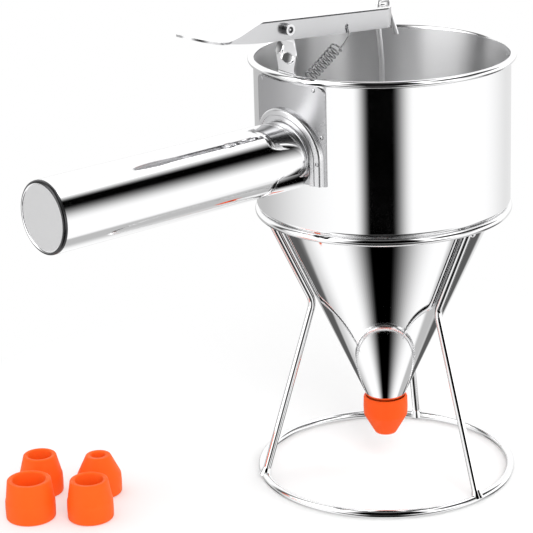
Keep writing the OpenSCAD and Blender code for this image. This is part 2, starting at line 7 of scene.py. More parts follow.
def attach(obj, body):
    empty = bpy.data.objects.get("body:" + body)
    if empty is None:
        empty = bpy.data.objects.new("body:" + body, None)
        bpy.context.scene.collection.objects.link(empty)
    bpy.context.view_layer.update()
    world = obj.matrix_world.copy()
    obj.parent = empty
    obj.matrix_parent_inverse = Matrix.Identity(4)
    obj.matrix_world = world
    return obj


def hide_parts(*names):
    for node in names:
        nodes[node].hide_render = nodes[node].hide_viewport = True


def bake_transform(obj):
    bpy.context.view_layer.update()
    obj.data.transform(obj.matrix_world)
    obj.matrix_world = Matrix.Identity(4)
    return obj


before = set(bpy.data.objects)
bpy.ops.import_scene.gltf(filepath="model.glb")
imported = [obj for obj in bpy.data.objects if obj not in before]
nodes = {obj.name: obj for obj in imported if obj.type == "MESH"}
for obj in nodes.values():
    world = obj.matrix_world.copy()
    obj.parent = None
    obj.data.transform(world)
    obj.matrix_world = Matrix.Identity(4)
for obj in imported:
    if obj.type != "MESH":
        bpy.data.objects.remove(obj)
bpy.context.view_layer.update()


# Cup. A drawn stainless cylinder with a lip rolled outwards and a flat shoulder turned
# in at its foot. Mirror polish outside; inside it keeps the fine rings of the brushing.
def finish_of(name, colour, metal, rough):
    finish = bpy.data.materials.new(name)
    finish.use_nodes = True
    tree = finish.node_tree
    shader = tree.nodes["Principled BSDF"]
    shader.inputs["Base Color"].default_value = (*colour, 1)
    shader.inputs["Metallic"].default_value = metal
    shader.inputs["Roughness"].default_value = rough
    return finish, tree, shader


def add(tree, kind, **settings):
    made = tree.nodes.new(kind)
    for key, value in settings.items():
        setattr(made, key, value)
    return made


def grain(tree, stretch, scale, detail=3.0):
    place = add(tree, "ShaderNodeTexCoord")
    pull = add(tree, "ShaderNodeMapping")
    pull.inputs["Scale"].default_value = stretch
    noise = add(tree, "ShaderNodeTexNoise")
    noise.inputs["Scale"].default_value = scale
    noise.inputs["Detail"].default_value = detail
    tree.links.new(place.outputs["Object"], pull.inputs["Vector"])
    tree.links.new(pull.outputs["Vector"], noise.inputs["Vector"])
    return noise.outputs["Fac"]


def spread(tree, source, low, high, start=0.3, end=0.7):
    scale = add(tree, "ShaderNodeMapRange")
    scale.inputs["From Min"].default_value = start
    scale.inputs["From Max"].default_value = end
    scale.inputs["To Min"].default_value = low
    scale.inputs["To Max"].default_value = high
    tree.links.new(source, scale.inputs["Value"])
    return scale.outputs["Result"]


def relief(tree, shader, source, height):
    bump = add(tree, "ShaderNodeBump")
    bump.inputs["Strength"].default_value = 1.0
    bump.inputs["Distance"].default_value = height
    tree.links.new(source, bump.inputs["Height"])
    tree.links.new(bump.outputs["Normal"], shader.inputs["Normal"])


def mirror_steel(name, colour=(0.90, 0.90, 0.905), rough=(0.03, 0.07), hairline=2e-6):
    # Polished steel: soft blotches of haze, and level hairlines of the given depth.
    finish, tree, shader = finish_of(name, colour, 1.0, rough[0])
    blotches, hairlines, drawn_level = 45, 260, (1, 1, 14)
    haze = spread(tree, grain(tree, (1, 1, 1), blotches), *rough)
    tree.links.new(haze, shader.inputs["Roughness"])
    relief(tree, shader, grain(tree, drawn_level, hairlines, 4), hairline)
    return finish


def ringed_steel(name, colour, rough, depth):
    # Brushed round the axis: the noise is read by height, and hardly by angle, and light
    # spreads across the rings, up and down the wall.
    finish, tree, shader = finish_of(name, colour, 1.0, rough[0])
    change_round, ring_scale, across_rings = 0.003, 1500, 0.25
    place = add(tree, "ShaderNodeTexCoord")
    parts = add(tree, "ShaderNodeSeparateXYZ")
    tree.links.new(place.outputs["Object"], parts.inputs["Vector"])
    around = add(tree, "ShaderNodeMath", operation="ARCTAN2")
    tree.links.new(parts.outputs["Y"], around.inputs[0])
    tree.links.new(parts.outputs["X"], around.inputs[1])
    slow = add(tree, "ShaderNodeMath", operation="MULTIPLY")
    slow.inputs[1].default_value = change_round
    tree.links.new(around.outputs["Value"], slow.inputs[0])
    row = add(tree, "ShaderNodeCombineXYZ")
    tree.links.new(slow.outputs["Value"], row.inputs["X"])
    tree.links.new(parts.outputs["Z"], row.inputs["Z"])
    lines = add(tree, "ShaderNodeTexNoise")
    lines.inputs["Scale"].default_value = ring_scale
    lines.inputs["Detail"].default_value = 3
    tree.links.new(row.outputs["Vector"], lines.inputs["Vector"])
    tree.links.new(spread(tree, lines.outputs["Fac"], *rough), shader.inputs["Roughness"])
    relief(tree, shader, lines.outputs["Fac"], depth)
    shader.inputs["Anisotropic"].default_value = 1.0
    shader.inputs["Anisotropic Rotation"].default_value = across_rings
    along_rings = add(tree, "ShaderNodeTangent", direction_type="RADIAL", axis="Z")
    tree.links.new(along_rings.outputs["Tangent"], shader.inputs["Tangent"])
    return finish


def arc(centre, radius, start, end, steps):
    # Points of an arc, from start to end in degrees.
    return [(centre[0] + radius * cos(radians(start + (end - start) * k / steps)),
             centre[1] + radius * sin(radians(start + (end - start) * k / steps)))
            for k in range(steps + 1)]


def shaped(name, verts, faces, finishes, sharp, marks=None):
    # A smooth piece with its own finishes, whose edges past the sharp angle stay crisp.
    mesh = bpy.data.meshes.new(name)
    mesh.from_pydata(verts, [], faces)
    for finish in finishes:
        mesh.materials.append(finish)
    if marks:
        mesh.polygons.foreach_set("material_index", marks)
    mesh.update()
    mesh.polygons.foreach_set("use_smooth", [True] * len(mesh.polygons))
    mesh.set_sharp_from_angle(angle=radians(sharp))
    piece = bpy.data.objects.new(name, mesh)
    bpy.context.collection.objects.link(piece)
    return piece


def turned(name, outline, finishes, which, turns=160, at=(0, 0), sharp=35):
    # Spins a closed outline of (radius, height) about an upright axis. The finish of each
    # face is the one that which gives for its place in the outline.
    count = len(outline)
    verts, faces, marks = [], [], []
    for k in range(turns):
        a = 2 * pi * k / turns
        verts += [(at[0] + r * cos(a), at[1] + r * sin(a), z) for r, z in outline]
    for k in range(turns):
        here, there = k * count, (k + 1) % turns * count
        for i in range(count):
            j = (i + 1) % count
            faces.append((here + i, there + i, there + j, here + j))
            marks.append(which(i))
    return shaped(name, verts, faces, finishes, sharp, marks)


sheet = 0.00075
cup_radius, rim_height, shoulder = 0.0504, 0.1755, 0.115
lip, bend = 0.00135, 0.0015
cone_top, cone_slope = 0.0458, 24.55
cone_skin = sheet / cos(radians(cone_slope))
lip_centre = (cup_radius - sheet + lip, rim_height - lip)
outside = [(cone_top - cone_skin, shoulder)] \
    + arc((cup_radius - bend, shoulder + bend), bend, -90, 0, 8) \
    + arc(lip_centre, lip, -125, 180, 30)
inside = [(cup_radius - sheet, rim_height - lip)] \
    + arc((cup_radius - bend, shoulder + bend), bend - sheet, 0, -90, 6) \
    + [(cone_top - cone_skin, shoulder + sheet)]
bright = mirror_steel("cup_mirror_polish", hairline=1e-6)
ringed = ringed_steel("cup_brushed_inside", (0.88, 0.88, 0.885), (0.28, 0.36), 1.5e-6)
cup = turned("cup", outside + inside, [bright, ringed],
             lambda i: 0 if i < len(outside) else 1, turns=256)
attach(cup, "funnel")
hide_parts("cup_shell")


# Cone. Spun from the same sheet and welded inside the shoulder, it narrows to the
# spout's width; polished outside and brushed round inside like the cup.
cone_foot, spout_radius = 0.027, 0.0056
cone_outline = [(spout_radius - cone_skin, cone_foot), (spout_radius, cone_foot),
                (cone_top, shoulder), (cone_top - cone_skin, shoulder)]
cone_bright = mirror_steel("cone_mirror_polish", rough=(0.02, 0.045), hairline=1e-6)
cone = turned("cone", cone_outline, [cone_bright, ringed], lambda i: 0 if i < 3 else 1, turns=256)
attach(cone, "funnel")
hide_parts("cone_shell")


# Spout. A short tube under the cone; its lower end is turned in to a seat for the valve.
def dress(name, finish):
    # Gives a finish to a piece whose shape stays as it is.
    for place in nodes[name].material_slots:
        place.material = finish


dress("outlet_spout", mirror_steel("spout_polish", rough=(0.08, 0.14)))


# Saddle plate and arch. A curved plate spot welded to the cup, and a pressed band
# over the handle's root that is open at its foot and has a fine line along its crown.
dress("saddle_plate", mirror_steel("plate_satin_polish", (0.48, 0.48, 0.49), (0.22, 0.30), 3e-6))

handle_height = 0.1438
tube_radius = 0.0134
arch_band, arch_feet = 0.0049, 0.0094
plate_face = 0.0512
arch_rise = 0.002


def band_section():
    # Across the band: (distance from the tube, height above the plate), round at both
    # edges, with the fine line as a groove along the middle.
    edge, top, line = 0.0009, arch_rise, arch_band / 2
    lip_half, floor_half, groove = 0.0002, 0.00012, 0.00035
    points = [(0, 0)] + arc((edge, top - edge), edge, 180, 90, 6)
    points += [(line - lip_half, top), (line - floor_half, top - groove),
               (line + floor_half, top - groove), (line + lip_half, top)]
    points += arc((arch_band - edge, top - edge), edge, 90, 0, 6) + [(arch_band, 0)]
    return points


def arch_path():
    # Up one leg, round the crown and down the other: a point on the tube's edge, as (y, z),
    # and the outward direction there.
    leg, crown = 6, 48
    path = [((-tube_radius, -arch_feet * (1 - k / leg)), (-1, 0)) for k in range(leg)]
    for k in range(crown + 1):
        out = (-cos(pi * k / crown), sin(pi * k / crown))
        path.append(((out[0] * tube_radius, tube_radius * out[1]), out))
    path += [((tube_radius, -arch_feet * k / leg), (1, 0)) for k in range(1, leg + 1)]
    return path


section = band_section()
verts, faces = [], []
for (beside, up), out in arch_path():
    for w, h in section:
        y, z = beside + out[0] * w, up + out[1] * w
        verts.append((-sqrt((plate_face + h) ** 2 - y * y), y, handle_height + z))
width = len(section)
steps = len(verts) // width
for s in range(steps - 1):
    for i in range(width):
        j = (i + 1) % width
        faces.append((s * width + i, s * width + j, (s + 1) * width + j, (s + 1) * width + i))
faces.append(tuple(range(width - 1, -1, -1)))
faces.append(tuple((steps - 1) * width + i for i in range(width)))
arch_steel = mirror_steel("arch_satin_polish", (0.72, 0.72, 0.73), (0.24, 0.32), 3e-6)
arch = shaped("arch", verts, faces, [arch_steel], 40)
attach(arch, "funnel")
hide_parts("handle_arch")


# Handle. A hollow polished tube coped to the cup, and the cap that closes its end: a
# satin disc sunk in a polished rim, whose rolled edge by the tube has a painted dark reflection.
dress("handle_tube", mirror_steel("handle_polish", rough=(0.03, 0.06)))

cap_end, cap_thick, cap_round = 0.163, 0.0015, 0.001
disc, disc_sunk, rim_slope = 0.0119, 0.0003, 0.00035


def facing_minus_x(piece):
    # Lays a piece that was turned about Z on its side, its top towards -X.
    piece.data.transform(Matrix.Translation((-(cap_end - cap_thick), 0, handle_height))
                         @ Matrix.Rotation(radians(-90), 4, "Y"))
    piece.data.update()


rim_steel = mirror_steel("cap_rim_polish", (0.88, 0.88, 0.89), (0.05, 0.09))
# The rolled edge gets near-black steel: a painted dark reflection.
edge_painted_dark_steel = mirror_steel("cap_painted_dark_reflection", (0.07, 0.07, 0.072), (0.22, 0.32))
satin, tree, shader = finish_of("cap_satin_disc", (0.78, 0.78, 0.785), 1.0, 0.32)
tree.links.new(spread(tree, grain(tree, (1, 9, 1), 320, 4), 0.28, 0.38), shader.inputs["Roughness"])
relief(tree, shader, grain(tree, (1, 12, 1), 420, 3), 4e-6)
seam = arc((tube_radius - cap_round, cap_thick - cap_round), cap_round, 0, 90, 9)
cap_outline = [(1e-5, 0.0), (tube_radius, 0.0)] + seam \
    + [(disc + rim_slope, cap_thick), (disc + 0.0001, cap_thick - disc_sunk / 2),
       (disc, cap_thick - disc_sunk), (1e-5, cap_thick - disc_sunk)]
disc_face = len(cap_outline) - 2
cap = turned("end_cap", cap_outline, [rim_steel, satin, edge_painted_dark_steel],
             lambda i: 2 if 1 <= i <= len(seam) else 1 if i == disc_face else 0, turns=128)
facing_minus_x(cap)
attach(cap, "funnel")
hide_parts("handle_cap")


# Spot welds. Small round buttons of dark steel, where the electrodes joined the plate
# to the cup and the strap to its inner wall.
def weld_tree():
    tree = bpy.data.node_groups.new("spot_welds", "GeometryNodeTree")
    face = tree.interface
    face.new_socket("Points", in_out="INPUT", socket_type="NodeSocketGeometry")
    size = face.new_socket("Weld radius", in_out="INPUT", socket_type="NodeSocketFloat")
    high = face.new_socket("Weld height", in_out="INPUT", socket_type="NodeSocketFloat")
    paint = face.new_socket("Finish", in_out="INPUT", socket_type="NodeSocketMaterial")
    face.new_socket("Welds", in_out="OUTPUT", socket_type="NodeSocketGeometry")
    enter, leave = add(tree, "NodeGroupInput"), add(tree, "NodeGroupOutput")
    # A button is a flattened ball, half of it above the sheet.
    button = add(tree, "GeometryNodeMeshUVSphere")
    button.inputs["Segments"].default_value = 28
    button.inputs["Rings"].default_value = 18
    button.inputs["Radius"].default_value = 1.0
    flatten = add(tree, "ShaderNodeCombineXYZ")
    for axis, name in (("X", "Weld radius"), ("Y", "Weld radius"), ("Z", "Weld height")):
        tree.links.new(enter.outputs[name], flatten.inputs[axis])
    turn = add(tree, "FunctionNodeAlignRotationToVector", axis="Z")
    normal = add(tree, "GeometryNodeInputNamedAttribute", data_type="FLOAT_VECTOR")
    normal.inputs["Name"].default_value = "outward"
    tree.links.new(normal.outputs["Attribute"], turn.inputs["Vector"])
    place = add(tree, "GeometryNodeInstanceOnPoints")
    tree.links.new(enter.outputs["Points"], place.inputs["Points"])
    tree.links.new(button.outputs["Mesh"], place.inputs["Instance"])
    tree.links.new(turn.outputs["Rotation"], place.inputs["Rotation"])
    tree.links.new(flatten.outputs["Vector"], place.inputs["Scale"])
    real = add(tree, "GeometryNodeRealizeInstances")
    smooth = add(tree, "GeometryNodeSetShadeSmooth")
    dressed = add(tree, "GeometryNodeSetMaterial")
    tree.links.new(place.outputs["Instances"], real.inputs["Geometry"])
    tree.links.new(real.outputs["Geometry"], smooth.inputs["Geometry"])
    tree.links.new(smooth.outputs["Geometry"], dressed.inputs["Geometry"])
    tree.links.new(enter.outputs["Finish"], dressed.inputs["Material"])
    tree.links.new(dressed.outputs["Geometry"], leave.inputs["Welds"])
    return tree, {"radius": size.identifier, "height": high.identifier, "finish": paint.identifier}


def grown(name, mesh, tree, values, body=None):
    # Runs a node tree on a mesh and keeps its result as a plain mesh.
    seed = bpy.data.objects.new(name + "_seed", mesh)
    bpy.context.collection.objects.link(seed)
    modifier = seed.modifiers.new("grow", "NODES")
    modifier.node_group = tree
    for socket, value in values.items():
        modifier[socket] = value
    seed.update_tag()
    bpy.context.view_layer.update()
    deps = bpy.context.evaluated_depsgraph_get()
    piece = bpy.data.objects.new(name, bpy.data.meshes.new_from_object(seed.evaluated_get(deps)))
    bpy.data.objects.remove(seed)
    bpy.context.collection.objects.link(piece)
    if body:
        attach(piece, body)
    return piece


def points_with_outward(name, places):
    mesh = bpy.data.meshes.new(name)
    mesh.from_pydata([p for p, _ in places], [], [])
    outward = mesh.attributes.new("outward", "FLOAT_VECTOR", "POINT")
    for k, (_, out) in enumerate(places):
        outward.data[k].vector = out
    return mesh


welds, weld_inputs = weld_tree()
weld_grey = mirror_steel("weld_dark_steel", (0.50, 0.50, 0.51), (0.14, 0.24))
plate_half, plate_high, weld_radius = 0.0188, 0.0284, 0.0008
beside_edge = plate_half - weld_radius - 0.0004
on_arch = (tube_radius + arch_band - weld_radius - 0.00035, -0.0007, plate_face + arch_rise)
on_side = (beside_edge, plate_high * 0.33, plate_face)
on_corner = (beside_edge - 0.003, plate_high - weld_radius - 0.0005, plate_face)
spots = []
for hand in (-1, 1):
    for y, z, face in (on_arch, on_side, on_corner):
        x = -sqrt(face ** 2 - y * y)
        spots.append(((x, hand * y, handle_height + z), (x / face, hand * y / face, 0)))
saddle_welds = grown("saddle_spot_welds", points_with_outward("saddle_spots", spots), welds,
                     {weld_inputs["radius"]: weld_radius, weld_inputs["height"]: 0.0002,
                      weld_inputs["finish"]: weld_grey}, "funnel")
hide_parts("saddle_welds")

strap_thick, strap_deep = 0.0007, 0.022
strap_face = cup_radius - sheet - strap_thick
strap_welds = grown("strap_spot_welds", points_with_outward("strap_spots", [
    ((-strap_face, 0, rim_height - k * strap_deep), (1, 0, 0)) for k in (0.3, 0.8)]), welds,
    {weld_inputs["radius"]: 0.0015, weld_inputs["height"]: 0.00025,
     weld_inputs["finish"]: weld_grey}, "funnel")
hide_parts("bracket_welds")


# Lever and its pin. The lever is a pressed channel whose web dishes down into a thumb tab;
# its top has a painted highlight, lighter than its walls. It turns on a pin with riveted ends.
wall_grey, top_painted_highlight = (0.60, 0.60, 0.61), (0.95, 0.95, 0.955)
lever_steel = mirror_steel("lever_steel_painted_top_highlight", wall_grey, (0.18, 0.26), 8e-6)
tree = lever_steel.node_tree
side_or_top = add(tree, "ShaderNodeSeparateXYZ")
tree.links.new(add(tree, "ShaderNodeTexCoord").outputs["Normal"], side_or_top.inputs["Vector"])
# Painted highlight: faces that look upwards are painted lighter than the walls.
painted_top_highlight_mix = add(tree, "ShaderNodeMix", data_type="RGBA")
tree.links.new(spread(tree, side_or_top.outputs["Z"], 0, 1, 0.35, 0.80), painted_top_highlight_mix.inputs["Factor"])
painted_top_highlight_mix.inputs["A"].default_value = (*wall_grey, 1)
painted_top_highlight_mix.inputs["B"].default_value = (*top_painted_highlight, 1)
tree.links.new(painted_top_highlight_mix.outputs["Result"], tree.nodes["Principled BSDF"].inputs["Base Color"])
dress("lever", lever_steel)
pin_steel = mirror_steel("pin_turned_steel", (0.78, 0.78, 0.79), (0.16, 0.24))
dress("pivot_pin", pin_steel)
pin_place, pin_radius = Vector((-0.054, 0, 0.1937)), 0.0021
rivet_foot, rivet_radius, rivet_shoulder, rivet_top = 0.0069, 0.0008, 0.00755, 0.00826
rivet_outline = [(1e-5, rivet_foot), (rivet_radius, rivet_foot)] \
    + arc((0.0001, rivet_shoulder), rivet_radius - 0.0001, 0, 88, 6) + [(1e-5, rivet_top)]
for hand, label in ((-1, "near"), (1, "far")):
    rivet = turned("pin_end_" + label, rivet_outline, [pin_steel], lambda i: 0, turns=40)
    rivet.data.transform(Matrix.Translation(pin_place)
                         @ Matrix.Rotation(radians(-90) * hand, 4, "X"))
    rivet.data.update()
    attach(rivet, "funnel")


# Strap. A strip welded to the cup's inner wall, widest half way up to the pin, with two
# pressed hollows whose floors lean upwards; its narrow end curls round the pin.
strap_foot, strap_seen, knee = rim_height - strap_deep, 0.1745, Vector((-0.0493, 0, 0.1877))
flat_from, strap_half, waist_half, eye_half = 0.184, 0.0055, 0.0044, 0.00480
curl, curl_turn = pin_radius + strap_thick / 2, radians(290)
half_widths = ((strap_foot, strap_half), (0.1705, strap_half), (0.1765, waist_half),
               (0.1822, strap_half), (knee.z, eye_half))
hollows = ((-0.0010, 0.18135, 0.0038, 0.0024), (0.0042, 0.1850, 0.0036, 0.0030))
lean_aside, lean_up, hollow_rim = 0.09, 0.25, 0.2


def eased(share):
    share = min(max(share, 0), 1)
    return share * share * (3 - 2 * share)


def half_width(z):
    # Follows the (height, half width) stops with eased steps.
    for (low, low_half), (high, high_half) in zip(half_widths, half_widths[1:]):
        if z <= high:
            return low_half + (high_half - low_half) * eased((z - low) / (high - low))


def pressed(y, z):
    # How far a point of the strip is pressed outwards.
    depth = 0
    for mid_y, mid_z, reach_y, reach_z in hollows:
        away = sqrt(((y - mid_y) / reach_y) ** 2 + ((z - mid_z) / reach_z) ** 2)
        slope = lean_aside * (y - mid_y) + lean_up * (z - mid_z)
        depth -= slope * eased((1 - away) / hollow_rim)
    return depth


def strap_stations():
    # Along the strip, up the wall, over the leaf and round the pin: whether it is on the
    # wall, its middle, the outward direction and the half width there.
    for low, high, steps in ((strap_foot, strap_seen, 8), (strap_seen, knee.z, 66)):
        for k in range(steps):
            z = low + (high - low) * k / steps
            yield True, Vector((knee.x, 0, z)), Vector((-1, 0, 0)), half_width(z)
    to_pin = pin_place - knee
    aim = atan2(to_pin.z, to_pin.x) - asin(curl / to_pin.length)
    leaf = sqrt(to_pin.length ** 2 - curl ** 2)
    for k in range(1, 8):
        yield (False, knee + Vector((cos(aim), 0, sin(aim))) * leaf * k / 8,
               Vector((-sin(aim), 0, cos(aim))), eye_half)
    for k in range(59):
        a = aim - pi / 2 + curl_turn * k / 58
        inward = Vector((-cos(a), 0, -sin(a)))
        yield False, pin_place - inward * curl, inward, eye_half


across_steps = 40
verts, faces = [], []
for on_wall, middle, out, half in strap_stations():
    bowed = min(max((knee.z - middle.z) / (knee.z - flat_from), 0), 1) if on_wall else 0
    for layer in (0.5, -0.5):
        for j in range(across_steps + 1):
            y = half * (2 * j / across_steps - 1)
            bow = (-knee.x - sqrt(knee.x ** 2 - y * y)) * bowed
            press = pressed(y, middle.z) if on_wall else 0
            verts.append(middle + Vector((bow, y, 0)) + out * (layer * strap_thick + press))
face_row, row = across_steps + 1, 2 * (across_steps + 1)
steps = len(verts) // row
loop = list(range(face_row)) + [face_row + j for j in reversed(range(face_row))]
for s in range(steps - 1):
    for a, b in zip(loop, loop[1:] + loop[:1]):
        faces.append((s * row + b, s * row + a, (s + 1) * row + a, (s + 1) * row + b))
for s in (0, steps - 1):
    for j in range(across_steps):
        quad = (j, j + 1, face_row + j + 1, face_row + j)
        faces.append(tuple(s * row + q for q in (reversed(quad) if s else quad)))
strap_steel = mirror_steel("strap_polish", (0.84, 0.84, 0.85), (0.05, 0.10))
strap = shaped("strap", verts, faces, [strap_steel], 50)
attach(strap, "funnel")
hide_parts("lever_bracket")


# Return spring. Drawn wire: a loop in the anchor's ring, nine coils, and a long hook
# through the hole in the lever's near wall. The coil is a helix along its own axis.
def coil_tree():
    tree = bpy.data.node_groups.new("coiled_wire", "GeometryNodeTree")
    face = tree.interface
    face.new_socket("Path", in_out="INPUT", socket_type="NodeSocketGeometry")
    thick = face.new_socket("Wire radius", in_out="INPUT", socket_type="NodeSocketFloat")
    paint = face.new_socket("Finish", in_out="INPUT", socket_type="NodeSocketMaterial")
    face.new_socket("Wire", in_out="OUTPUT", socket_type="NodeSocketGeometry")
    enter, leave = add(tree, "NodeGroupInput"), add(tree, "NodeGroupOutput")
    line = add(tree, "GeometryNodeMeshToCurve")
    round_wire = add(tree, "GeometryNodeCurvePrimitiveCircle")
    round_wire.inputs["Resolution"].default_value = 14
    tree.links.new(enter.outputs["Wire radius"], round_wire.inputs["Radius"])
    sweep = add(tree, "GeometryNodeCurveToMesh")
    sweep.inputs["Fill Caps"].default_value = True
    smooth = add(tree, "GeometryNodeSetShadeSmooth")
    real = add(tree, "GeometryNodeRealizeInstances")
    dressed = add(tree, "GeometryNodeSetMaterial")
    tree.links.new(enter.outputs["Path"], line.inputs["Mesh"])
    tree.links.new(line.outputs["Curve"], sweep.inputs["Curve"])
    tree.links.new(round_wire.outputs["Curve"], sweep.inputs["Profile Curve"])
    tree.links.new(sweep.outputs["Mesh"], smooth.inputs["Geometry"])
    tree.links.new(smooth.outputs["Geometry"], real.inputs["Geometry"])
    tree.links.new(real.outputs["Geometry"], dressed.inputs["Geometry"])
    tree.links.new(enter.outputs["Finish"], dressed.inputs["Material"])
    tree.links.new(dressed.outputs["Geometry"], leave.inputs["Wire"])
    return tree, {"radius": thick.identifier, "finish": paint.identifier}


anchor, spring_lean = Vector((-0.04785, -0.0066, 0.171)), radians(56.89)
along = Vector((sin(spring_lean), 0, cos(spring_lean)))
across = Vector((cos(spring_lean), 0, -sin(spring_lean)))
wire_radius, coil_radius = 0.00033, 0.00217
coils, pitch, coil_from = 9, 0.0019, 0.0049
coil_to = coil_from + coils * pitch


def in_spring(x, y, z):
    # A point given by the spring's own axes: across it, sideways, and along it.
    return anchor + across * x + along * z + Vector((0, y, 0))


def rounded(points, passes=2):
    # Cuts the corners of a run of points, and keeps its two ends.
    for _ in range(passes):
        cut = [points[0]]
        for a, b in zip(points, points[1:]):
            cut += [a.lerp(b, 0.25), a.lerp(b, 0.75)]
        points = cut + [points[-1]]
    return points


loop_radius, loop_middle, round_steps = 0.0014, 0.0020, 32
spring_path = []
for a in range(-150, 166, 15):
    spring_path.append(in_spring(0, loop_radius * sin(radians(a)),
                                 loop_middle - loop_radius * cos(radians(a))))
spring_path += rounded([in_spring(0, 0.0002, 0.0034), in_spring(0.0006, 0, 0.0038),
                        in_spring(0.0022, -0.0004, 0.0043), in_spring(coil_radius, 0, coil_from)])
for k in range(1, coils * round_steps):
    a = 2 * pi * k / round_steps
    spring_path.append(in_spring(coil_radius * cos(a), coil_radius * sin(a),
                                 coil_from + pitch * k / round_steps))
hook = [(coil_radius, 0, coil_to), (0.0021, 0.0006, coil_to + 0.0003),
        (0.0019, 0.0004, coil_to + 0.0015), (0.0014, 0, coil_to + 0.0035), (0.0010, 0, 0.0275),
        (0.0006, 0, 0.0292), (-0.0010, 0, 0.0299), (-0.00281, 0, 0.03034),
        (-0.00281, 0.0023, 0.03034)]
spring_path += rounded([in_spring(*point) for point in hook], 3)
mesh = bpy.data.meshes.new("spring_path")
mesh.from_pydata(spring_path, [(k, k + 1) for k in range(len(spring_path) - 1)], [])
coiled, coil_inputs = coil_tree()
spring_steel = mirror_steel("spring_wire", (0.45, 0.45, 0.46), (0.05, 0.10), 1e-6)
spring = grown("return_coil", mesh, coiled, {coil_inputs["radius"]: wire_radius,
                                             coil_inputs["finish"]: spring_steel})
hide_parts("return_spring")
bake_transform(spring)
dress("spring_eye", spring_steel)


# Pull rod and valve. A 2 mm wire on the axis, hooked over the lever's end; the turned
# plug on its foot closes the spout.
rod_polish = mirror_steel("rod_polish", (0.95, 0.95, 0.955), (0.32, 0.40))
dress("pull_rod", rod_polish)
dress("valve_plug", rod_polish)


# Silicone tips. Moulded orange caps that stretch over the spout, one fitted and four
# spare, with a straight band at the wide end and a rounded nose.
def silicone(name, colour):
    finish, tree, shader = finish_of(name, colour, 0.0, 0.5)
    cloudy, pores, pore_depth = 220, 2600, 8e-6
    blotch = spread(tree, grain(tree, (1, 1, 1), cloudy, 2), 0.42, 0.58)
    tree.links.new(blotch, shader.inputs["Roughness"])
    relief(tree, shader, grain(tree, (1, 1, 1), pores, 3), pore_depth)
    shader.inputs["Subsurface Weight"].default_value = 0.12
    shader.inputs["Subsurface Radius"].default_value = (0.004, 0.0015, 0.0006)
    shader.inputs["Subsurface Scale"].default_value = 1.0
    shader.inputs["Specular IOR Level"].default_value = 0.15
    shader.inputs["Sheen Weight"].default_value = 0.12
    shader.inputs["Sheen Tint"].default_value = (1.0, 0.45, 0.15, 1)
    return finish


tip_tall, band_foot, socket_floor, socket_top = 0.0164, 0.00824, 0.0061, 0.0119
cone_spread = 0.4568


def tip_outline(band, nose, bore, socket):
    # Nose down, from the outlet's edge round the outside to the mouth and down the socket.
    mouth = socket + (tip_tall - socket_top) * cone_spread
    edge, nose_round, rim_round = 0.0003, 0.0007, 0.0009
    points = [(bore + edge, 0)]
    points += arc((nose - 0.0006, nose_round), nose_round, -90, -25, 5)
    points += [(band - 0.0004, band_foot - 0.0005), (band - 0.0002, band_foot),
               (band - 0.0001, band_foot + 0.0007), (band, tip_tall - 0.0048)]
    points += arc((band - 0.001, tip_tall - 0.001), rim_round, 0, 90, 6)
    points += arc((mouth + edge, tip_tall - 0.0004), edge, 90, 180, 3)
    points += [(socket, socket_top), (socket, socket_floor), (bore, socket_floor), (bore, edge)]
    return points


orange = silicone("orange_silicone", (0.94, 0.092, 0.008))
spare_orange = silicone("spare_orange_silicone", (0.95, 0.120, 0.010))
calibres = (("fitted_tip", "silicone_tip", 0.0091, 0.0045, 0.00285, None),
            ("spare_tip_first", "spare_tip_1", 0.0090, 0.0067, 0.0049, (-0.11900, 0.07897)),
            ("spare_tip_second", "spare_tip_2", 0.0091, 0.00515, 0.00285, (-0.10203, 0.06200)),
            ("spare_tip_third", "spare_tip_3", 0.0100, 0.0087, 0.0066, (-0.13597, 0.06200)),
            ("spare_tip_fourth", "spare_tip_4", 0.00925, 0.0076, 0.0056, (-0.11900, 0.04503)))
tip_place, socket_least = 0.0151, 0.0059
for label, node, band, nose, bore, place in calibres:
    outline = tip_outline(band, nose, bore, max(socket_least, bore))
    if place:
        outline = [(r, tip_tall - z) for r, z in reversed(outline)]
    else:
        outline = [(r, tip_place + z) for r, z in outline]
    tip = turned(label, outline, [spare_orange if place else orange], lambda i: 0, turns=96,
                 at=place or (0, 0), sharp=50)
    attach(tip, "spare_" + node[-1] if place else "fitted_tip")
    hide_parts(node)


# Stand. Bright wire: a ring under the cup's shoulder, a wider ring on the table and three
# legs bent in at the waist, with a bead of weld where each leg meets a ring.
bright_wire = mirror_steel("bright_wire", (0.88, 0.88, 0.885), (0.015, 0.035), 1e-6)
for part in ("top_ring", "base_ring", "leg_1", "leg_2", "leg_3", "stand_welds"):
    dress(part, bright_wire)


# Room. A pale floor that keeps a soft shadow near the stand and fades to white, and a
# white room with light boxes, grey walls and black flags round it, which the steel mirrors.
reach, shadow_to, white_from = 6, 0.10, 0.22
floor_mesh = bpy.data.meshes.new("floor")
corners = [(-reach, -reach, 0), (reach, -reach, 0), (reach, reach, 0), (-reach, reach, 0)]
floor_mesh.from_pydata(corners, [], [(0, 1, 2, 3)])
floor = bpy.data.objects.new("floor", floor_mesh)
bpy.context.collection.objects.link(floor)
paper = bpy.data.materials.new("pale_paper")
paper.use_nodes = True
tree = paper.node_tree
tree.nodes.clear()
matte = add(tree, "ShaderNodeBsdfDiffuse")
matte.inputs["Color"].default_value = (0.94, 0.94, 0.94, 1)
glow = add(tree, "ShaderNodeEmission")
fade = add(tree, "ShaderNodeMixShader")
where = add(tree, "ShaderNodeTexCoord")
away = add(tree, "ShaderNodeVectorMath", operation="LENGTH")
tree.links.new(where.outputs["Object"], away.inputs[0])
tree.links.new(spread(tree, away.outputs["Value"], 0, 1, shadow_to, white_from), fade.inputs["Fac"])
tree.links.new(matte.outputs["BSDF"], fade.inputs[1])
tree.links.new(glow.outputs["Emission"], fade.inputs[2])
